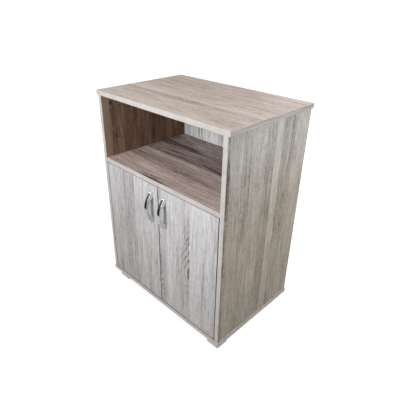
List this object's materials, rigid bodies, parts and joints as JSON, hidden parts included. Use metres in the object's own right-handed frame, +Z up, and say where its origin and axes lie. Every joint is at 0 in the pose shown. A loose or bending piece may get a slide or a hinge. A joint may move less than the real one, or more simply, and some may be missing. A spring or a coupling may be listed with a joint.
{
  "type": "kitchen cabinet",
  "caption": "Free-standing wood-grain kitchen cabinet with an open bay above a cupboard with inset doors, bow handles, hidden gooseneck cup hinges and low block feet.",
  "frame": {"origin": "on the floor, under the middle of the outer box", "axes": "+X to the right seen from the front, -Y towards the front, +Z up"},
  "size_m": [0.615, 0.4326, 0.788],
  "materials": {
    "laminate_upright": "wood-grain melamine, grain upright",
    "laminate_across": "wood-grain melamine, grain along the width",
    "edging": "pale edge banding",
    "back_board": "printed hardboard",
    "handle_chrome": "polished chrome",
    "plated_steel": "nickel plated",
    "zinc_casting": "raw zinc casting",
    "dowel_wood": "plain beech",
    "foot_plastic": "moulded, pale grey",
    "catch_plastic": "moulded, off-white"
  },
  "bodies": {
    "carcass": {"arm_screws": "plated_steel", "back_left_foot": "foot_plastic", "back_nails": "plated_steel", "back_panel": "back_board", "back_right_foot": "foot_plastic", "bottom_edging": "edging", "bottom_panel": "laminate_across", "cam_bolts": "plated_steel", "cam_locks": "zinc_casting", "catch_screws": "plated_steel", "dowels": "dowel_wood", "foot_screws": "plated_steel", "front_left_foot": "foot_plastic", "front_right_foot": "foot_plastic", "inner_shelf": "laminate_across", "inner_shelf_edging": "edging", "left_catch": "catch_plastic", "left_lower_hinge_arm": "plated_steel", "left_lower_hinge_plate": "plated_steel", "left_side_edging": "edging", "left_side_panel": "laminate_upright", "left_upper_hinge_arm": "plated_steel", "left_upper_hinge_plate": "plated_steel", "middle_shelf": "laminate_across", "middle_shelf_edging": "edging", "plate_screws": "plated_steel", "right_catch": "catch_plastic", "right_lower_hinge_arm": "plated_steel", "right_lower_hinge_plate": "plated_steel", "right_side_edging": "edging", "right_side_panel": "laminate_upright", "right_upper_hinge_arm": "plated_steel", "right_upper_hinge_plate": "plated_steel", "shelf_pins": "plated_steel", "top_edging": "edging", "top_panel": "laminate_across"},
    "left_door": {"left_cup_screws": "plated_steel", "left_door": "laminate_upright", "left_door_edging": "edging", "left_handle": "handle_chrome", "left_handle_screws": "plated_steel", "left_hinge_pins": "plated_steel", "left_lower_hinge_cup": "plated_steel", "left_strike": "plated_steel", "left_strike_screw": "plated_steel", "left_upper_hinge_cup": "plated_steel"},
    "right_door": {"right_cup_screws": "plated_steel", "right_door": "laminate_upright", "right_door_edging": "edging", "right_handle": "handle_chrome", "right_handle_screws": "plated_steel", "right_hinge_pins": "plated_steel", "right_lower_hinge_cup": "plated_steel", "right_strike": "plated_steel", "right_strike_screw": "plated_steel", "right_upper_hinge_cup": "plated_steel"}
  },
  "joints": [
    {"name": "left_door_hinge", "type": "hinge", "parent": "carcass", "child": "left_door", "pos_m": [-0.26113, -0.1793, 0.278], "axis": [0, 0, -1], "range_deg": [0, 100]},
    {"name": "right_door_hinge", "type": "hinge", "parent": "carcass", "child": "right_door", "pos_m": [0.26113, -0.1793, 0.278], "axis": [0, 0, 1], "range_deg": [0, 100]}
  ]
}
